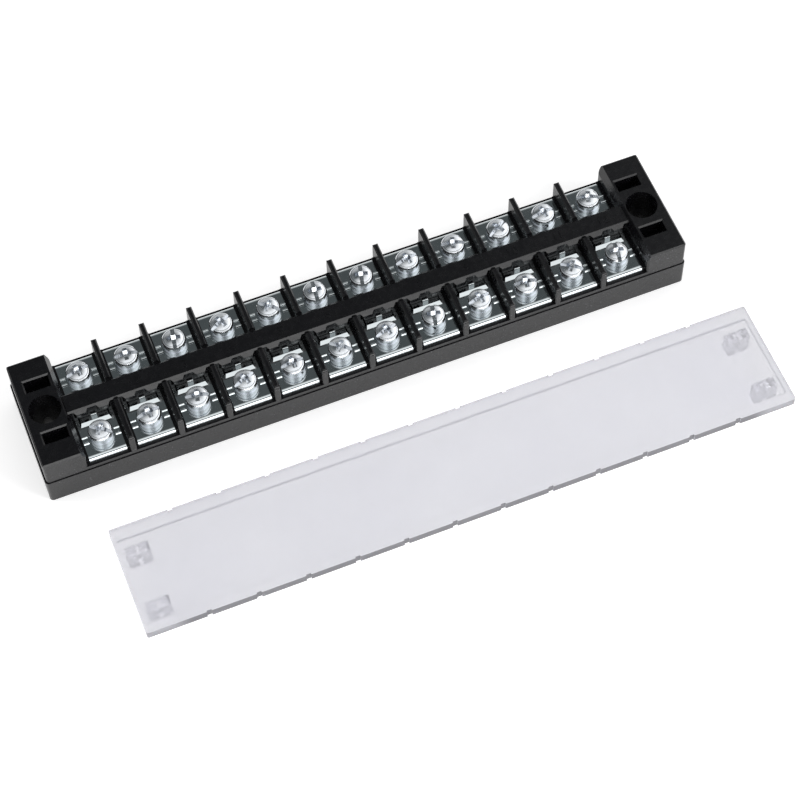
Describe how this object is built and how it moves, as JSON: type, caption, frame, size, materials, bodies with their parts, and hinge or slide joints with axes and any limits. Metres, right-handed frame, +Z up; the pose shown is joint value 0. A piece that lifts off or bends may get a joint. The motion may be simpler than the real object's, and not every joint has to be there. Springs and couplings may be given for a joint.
{
  "type": "barrier terminal strip",
  "caption": "Double-row barrier terminal strip with black moulded base, nickel-plated bars, washer-head screws and mounting holes, with its clear cover taken off beside it.",
  "frame": {"origin": "middle of the strip's flat underside", "axes": "+X along the strip, from way 1 to way 12; +Y away from the cover; +Z up, out of the terminals"},
  "size_m": [0.1718, 0.0745, 0.0157],
  "materials": {
    "black_moulding": "moulded, fine satin",
    "nickel": "bright nickel plate",
    "nickel_screw": "bright nickel plate",
    "clear_plastic": "clear moulded plastic, slightly milky"
  },
  "bodies": {
    "strip": {"base_moulding": "black_moulding", "terminal_bars": "nickel"},
    "cover": {"clear_cover": "clear_plastic"},
    "near_screw_1": {"near_screw_1": "nickel_screw"},
    "near_washers_1": {"near_washers_1": "nickel"},
    "near_screw_2": {"near_screw_2": "nickel_screw"},
    "near_washers_2": {"near_washers_2": "nickel"},
    "near_screw_3": {"near_screw_3": "nickel_screw"},
    "near_washers_3": {"near_washers_3": "nickel"},
    "near_screw_4": {"near_screw_4": "nickel_screw"},
    "near_washers_4": {"near_washers_4": "nickel"},
    "near_screw_5": {"near_screw_5": "nickel_screw"},
    "near_washers_5": {"near_washers_5": "nickel"},
    "near_screw_6": {"near_screw_6": "nickel_screw"},
    "near_washers_6": {"near_washers_6": "nickel"},
    "near_screw_7": {"near_screw_7": "nickel_screw"},
    "near_washers_7": {"near_washers_7": "nickel"},
    "near_screw_8": {"near_screw_8": "nickel_screw"},
    "near_washers_8": {"near_washers_8": "nickel"},
    "near_screw_9": {"near_screw_9": "nickel_screw"},
    "near_washers_9": {"near_washers_9": "nickel"},
    "near_screw_10": {"near_screw_10": "nickel_screw"},
    "near_washers_10": {"near_washers_10": "nickel"},
    "near_screw_11": {"near_screw_11": "nickel_screw"},
    "near_washers_11": {"near_washers_11": "nickel"},
    "near_screw_12": {"near_screw_12": "nickel_screw"},
    "near_washers_12": {"near_washers_12": "nickel"},
    "far_screw_1": {"far_screw_1": "nickel_screw"},
    "far_washers_1": {"far_washers_1": "nickel"},
    "far_screw_2": {"far_screw_2": "nickel_screw"},
    "far_washers_2": {"far_washers_2": "nickel"},
    "far_screw_3": {"far_screw_3": "nickel_screw"},
    "far_washers_3": {"far_washers_3": "nickel"},
    "far_screw_4": {"far_screw_4": "nickel_screw"},
    "far_washers_4": {"far_washers_4": "nickel"},
    "far_screw_5": {"far_screw_5": "nickel_screw"},
    "far_washers_5": {"far_washers_5": "nickel"},
    "far_screw_6": {"far_screw_6": "nickel_screw"},
    "far_washers_6": {"far_washers_6": "nickel"},
    "far_screw_7": {"far_screw_7": "nickel_screw"},
    "far_washers_7": {"far_washers_7": "nickel"},
    "far_screw_8": {"far_screw_8": "nickel_screw"},
    "far_washers_8": {"far_washers_8": "nickel"},
    "far_screw_9": {"far_screw_9": "nickel_screw"},
    "far_washers_9": {"far_washers_9": "nickel"},
    "far_screw_10": {"far_screw_10": "nickel_screw"},
    "far_washers_10": {"far_washers_10": "nickel"},
    "far_screw_11": {"far_screw_11": "nickel_screw"},
    "far_washers_11": {"far_washers_11": "nickel"},
    "far_screw_12": {"far_screw_12": "nickel_screw"},
    "far_washers_12": {"far_washers_12": "nickel"}
  },
  "joints": [
    {"name": "cover_lift", "type": "slide", "parent": "strip", "child": "cover", "axis": [0, 0, 1], "range_m": [0, 0.025]},
    {"name": "near_lift_1", "type": "slide", "parent": "strip", "child": "near_washers_1", "axis": [0, 0, 1], "range_m": [0, 0.003]},
    {"name": "near_turn_1", "type": "hinge", "parent": "near_washers_1", "child": "near_screw_1", "pos_m": [-0.066, -0.0086, 0.0105], "axis": [0, 0, 1], "range_deg": [0, 1800]},
    {"name": "near_lift_2", "type": "slide", "parent": "strip", "child": "near_washers_2", "axis": [0, 0, 1], "range_m": [0, 0.003]},
    {"name": "near_turn_2", "type": "hinge", "parent": "near_washers_2", "child": "near_screw_2", "pos_m": [-0.054, -0.0086, 0.0105], "axis": [0, 0, 1], "range_deg": [0, 1800]},
    {"name": "near_lift_3", "type": "slide", "parent": "strip", "child": "near_washers_3", "axis": [0, 0, 1], "range_m": [0, 0.003]},
    {"name": "near_turn_3", "type": "hinge", "parent": "near_washers_3", "child": "near_screw_3", "pos_m": [-0.042, -0.0086, 0.0105], "axis": [0, 0, 1], "range_deg": [0, 1800]},
    {"name": "near_lift_4", "type": "slide", "parent": "strip", "child": "near_washers_4", "axis": [0, 0, 1], "range_m": [0, 0.003]},
    {"name": "near_turn_4", "type": "hinge", "parent": "near_washers_4", "child": "near_screw_4", "pos_m": [-0.03, -0.0086, 0.0105], "axis": [0, 0, 1], "range_deg": [0, 1800]},
    {"name": "near_lift_5", "type": "slide", "parent": "strip", "child": "near_washers_5", "axis": [0, 0, 1], "range_m": [0, 0.003]},
    {"name": "near_turn_5", "type": "hinge", "parent": "near_washers_5", "child": "near_screw_5", "pos_m": [-0.018, -0.0086, 0.0105], "axis": [0, 0, 1], "range_deg": [0, 1800]},
    {"name": "near_lift_6", "type": "slide", "parent": "strip", "child": "near_washers_6", "axis": [0, 0, 1], "range_m": [0, 0.003]},
    {"name": "near_turn_6", "type": "hinge", "parent": "near_washers_6", "child": "near_screw_6", "pos_m": [-0.006, -0.0086, 0.0105], "axis": [0, 0, 1], "range_deg": [0, 1800]},
    {"name": "near_lift_7", "type": "slide", "parent": "strip", "child": "near_washers_7", "axis": [0, 0, 1], "range_m": [0, 0.003]},
    {"name": "near_turn_7", "type": "hinge", "parent": "near_washers_7", "child": "near_screw_7", "pos_m": [0.006, -0.0086, 0.0105], "axis": [0, 0, 1], "range_deg": [0, 1800]},
    {"name": "near_lift_8", "type": "slide", "parent": "strip", "child": "near_washers_8", "axis": [0, 0, 1], "range_m": [0, 0.003]},
    {"name": "near_turn_8", "type": "hinge", "parent": "near_washers_8", "child": "near_screw_8", "pos_m": [0.018, -0.0086, 0.0105], "axis": [0, 0, 1], "range_deg": [0, 1800]},
    {"name": "near_lift_9", "type": "slide", "parent": "strip", "child": "near_washers_9", "axis": [0, 0, 1], "range_m": [0, 0.003]},
    {"name": "near_turn_9", "type": "hinge", "parent": "near_washers_9", "child": "near_screw_9", "pos_m": [0.03, -0.0086, 0.0105], "axis": [0, 0, 1], "range_deg": [0, 1800]},
    {"name": "near_lift_10", "type": "slide", "parent": "strip", "child": "near_washers_10", "axis": [0, 0, 1], "range_m": [0, 0.003]},
    {"name": "near_turn_10", "type": "hinge", "parent": "near_washers_10", "child": "near_screw_10", "pos_m": [0.042, -0.0086, 0.0105], "axis": [0, 0, 1], "range_deg": [0, 1800]},
    {"name": "near_lift_11", "type": "slide", "parent": "strip", "child": "near_washers_11", "axis": [0, 0, 1], "range_m": [0, 0.003]},
    {"name": "near_turn_11", "type": "hinge", "parent": "near_washers_11", "child": "near_screw_11", "pos_m": [0.054, -0.0086, 0.0105], "axis": [0, 0, 1], "range_deg": [0, 1800]},
    {"name": "near_lift_12", "type": "slide", "parent": "strip", "child": "near_washers_12", "axis": [0, 0, 1], "range_m": [0, 0.003]},
    {"name": "near_turn_12", "type": "hinge", "parent": "near_washers_12", "child": "near_screw_12", "pos_m": [0.066, -0.0086, 0.0105], "axis": [0, 0, 1], "range_deg": [0, 1800]},
    {"name": "far_lift_1", "type": "slide", "parent": "strip", "child": "far_washers_1", "axis": [0, 0, 1], "range_m": [0, 0.003]},
    {"name": "far_turn_1", "type": "hinge", "parent": "far_washers_1", "child": "far_screw_1", "pos_m": [-0.066, 0.0086, 0.0105], "axis": [0, 0, 1], "range_deg": [0, 1800]},
    {"name": "far_lift_2", "type": "slide", "parent": "strip", "child": "far_washers_2", "axis": [0, 0, 1], "range_m": [0, 0.003]},
    {"name": "far_turn_2", "type": "hinge", "parent": "far_washers_2", "child": "far_screw_2", "pos_m": [-0.054, 0.0086, 0.0105], "axis": [0, 0, 1], "range_deg": [0, 1800]},
    {"name": "far_lift_3", "type": "slide", "parent": "strip", "child": "far_washers_3", "axis": [0, 0, 1], "range_m": [0, 0.003]},
    {"name": "far_turn_3", "type": "hinge", "parent": "far_washers_3", "child": "far_screw_3", "pos_m": [-0.042, 0.0086, 0.0105], "axis": [0, 0, 1], "range_deg": [0, 1800]},
    {"name": "far_lift_4", "type": "slide", "parent": "strip", "child": "far_washers_4", "axis": [0, 0, 1], "range_m": [0, 0.003]},
    {"name": "far_turn_4", "type": "hinge", "parent": "far_washers_4", "child": "far_screw_4", "pos_m": [-0.03, 0.0086, 0.0105], "axis": [0, 0, 1], "range_deg": [0, 1800]},
    {"name": "far_lift_5", "type": "slide", "parent": "strip", "child": "far_washers_5", "axis": [0, 0, 1], "range_m": [0, 0.003]},
    {"name": "far_turn_5", "type": "hinge", "parent": "far_washers_5", "child": "far_screw_5", "pos_m": [-0.018, 0.0086, 0.0105], "axis": [0, 0, 1], "range_deg": [0, 1800]},
    {"name": "far_lift_6", "type": "slide", "parent": "strip", "child": "far_washers_6", "axis": [0, 0, 1], "range_m": [0, 0.003]},
    {"name": "far_turn_6", "type": "hinge", "parent": "far_washers_6", "child": "far_screw_6", "pos_m": [-0.006, 0.0086, 0.0105], "axis": [0, 0, 1], "range_deg": [0, 1800]},
    {"name": "far_lift_7", "type": "slide", "parent": "strip", "child": "far_washers_7", "axis": [0, 0, 1], "range_m": [0, 0.003]},
    {"name": "far_turn_7", "type": "hinge", "parent": "far_washers_7", "child": "far_screw_7", "pos_m": [0.006, 0.0086, 0.0105], "axis": [0, 0, 1], "range_deg": [0, 1800]},
    {"name": "far_lift_8", "type": "slide", "parent": "strip", "child": "far_washers_8", "axis": [0, 0, 1], "range_m": [0, 0.003]},
    {"name": "far_turn_8", "type": "hinge", "parent": "far_washers_8", "child": "far_screw_8", "pos_m": [0.018, 0.0086, 0.0105], "axis": [0, 0, 1], "range_deg": [0, 1800]},
    {"name": "far_lift_9", "type": "slide", "parent": "strip", "child": "far_washers_9", "axis": [0, 0, 1], "range_m": [0, 0.003]},
    {"name": "far_turn_9", "type": "hinge", "parent": "far_washers_9", "child": "far_screw_9", "pos_m": [0.03, 0.0086, 0.0105], "axis": [0, 0, 1], "range_deg": [0, 1800]},
    {"name": "far_lift_10", "type": "slide", "parent": "strip", "child": "far_washers_10", "axis": [0, 0, 1], "range_m": [0, 0.003]},
    {"name": "far_turn_10", "type": "hinge", "parent": "far_washers_10", "child": "far_screw_10", "pos_m": [0.042, 0.0086, 0.0105], "axis": [0, 0, 1], "range_deg": [0, 1800]},
    {"name": "far_lift_11", "type": "slide", "parent": "strip", "child": "far_washers_11", "axis": [0, 0, 1], "range_m": [0, 0.003]},
    {"name": "far_turn_11", "type": "hinge", "parent": "far_washers_11", "child": "far_screw_11", "pos_m": [0.054, 0.0086, 0.0105], "axis": [0, 0, 1], "range_deg": [0, 1800]},
    {"name": "far_lift_12", "type": "slide", "parent": "strip", "child": "far_washers_12", "axis": [0, 0, 1], "range_m": [0, 0.003]},
    {"name": "far_turn_12", "type": "hinge", "parent": "far_washers_12", "child": "far_screw_12", "pos_m": [0.066, 0.0086, 0.0105], "axis": [0, 0, 1], "range_deg": [0, 1800]}
  ],
  "couplings": [
    {"joint": "near_turn_1", "follows": "near_lift_1", "rad_per_m": 10472},
    {"joint": "near_turn_2", "follows": "near_lift_2", "rad_per_m": 10472},
    {"joint": "near_turn_3", "follows": "near_lift_3", "rad_per_m": 10472},
    {"joint": "near_turn_4", "follows": "near_lift_4", "rad_per_m": 10472},
    {"joint": "near_turn_5", "follows": "near_lift_5", "rad_per_m": 10472},
    {"joint": "near_turn_6", "follows": "near_lift_6", "rad_per_m": 10472},
    {"joint": "near_turn_7", "follows": "near_lift_7", "rad_per_m": 10472},
    {"joint": "near_turn_8", "follows": "near_lift_8", "rad_per_m": 10472},
    {"joint": "near_turn_9", "follows": "near_lift_9", "rad_per_m": 10472},
    {"joint": "near_turn_10", "follows": "near_lift_10", "rad_per_m": 10472},
    {"joint": "near_turn_11", "follows": "near_lift_11", "rad_per_m": 10472},
    {"joint": "near_turn_12", "follows": "near_lift_12", "rad_per_m": 10472},
    {"joint": "far_turn_1", "follows": "far_lift_1", "rad_per_m": 10472},
    {"joint": "far_turn_2", "follows": "far_lift_2", "rad_per_m": 10472},
    {"joint": "far_turn_3", "follows": "far_lift_3", "rad_per_m": 10472},
    {"joint": "far_turn_4", "follows": "far_lift_4", "rad_per_m": 10472},
    {"joint": "far_turn_5", "follows": "far_lift_5", "rad_per_m": 10472},
    {"joint": "far_turn_6", "follows": "far_lift_6", "rad_per_m": 10472},
    {"joint": "far_turn_7", "follows": "far_lift_7", "rad_per_m": 10472},
    {"joint": "far_turn_8", "follows": "far_lift_8", "rad_per_m": 10472},
    {"joint": "far_turn_9", "follows": "far_lift_9", "rad_per_m": 10472},
    {"joint": "far_turn_10", "follows": "far_lift_10", "rad_per_m": 10472},
    {"joint": "far_turn_11", "follows": "far_lift_11", "rad_per_m": 10472},
    {"joint": "far_turn_12", "follows": "far_lift_12", "rad_per_m": 10472}
  ]
}
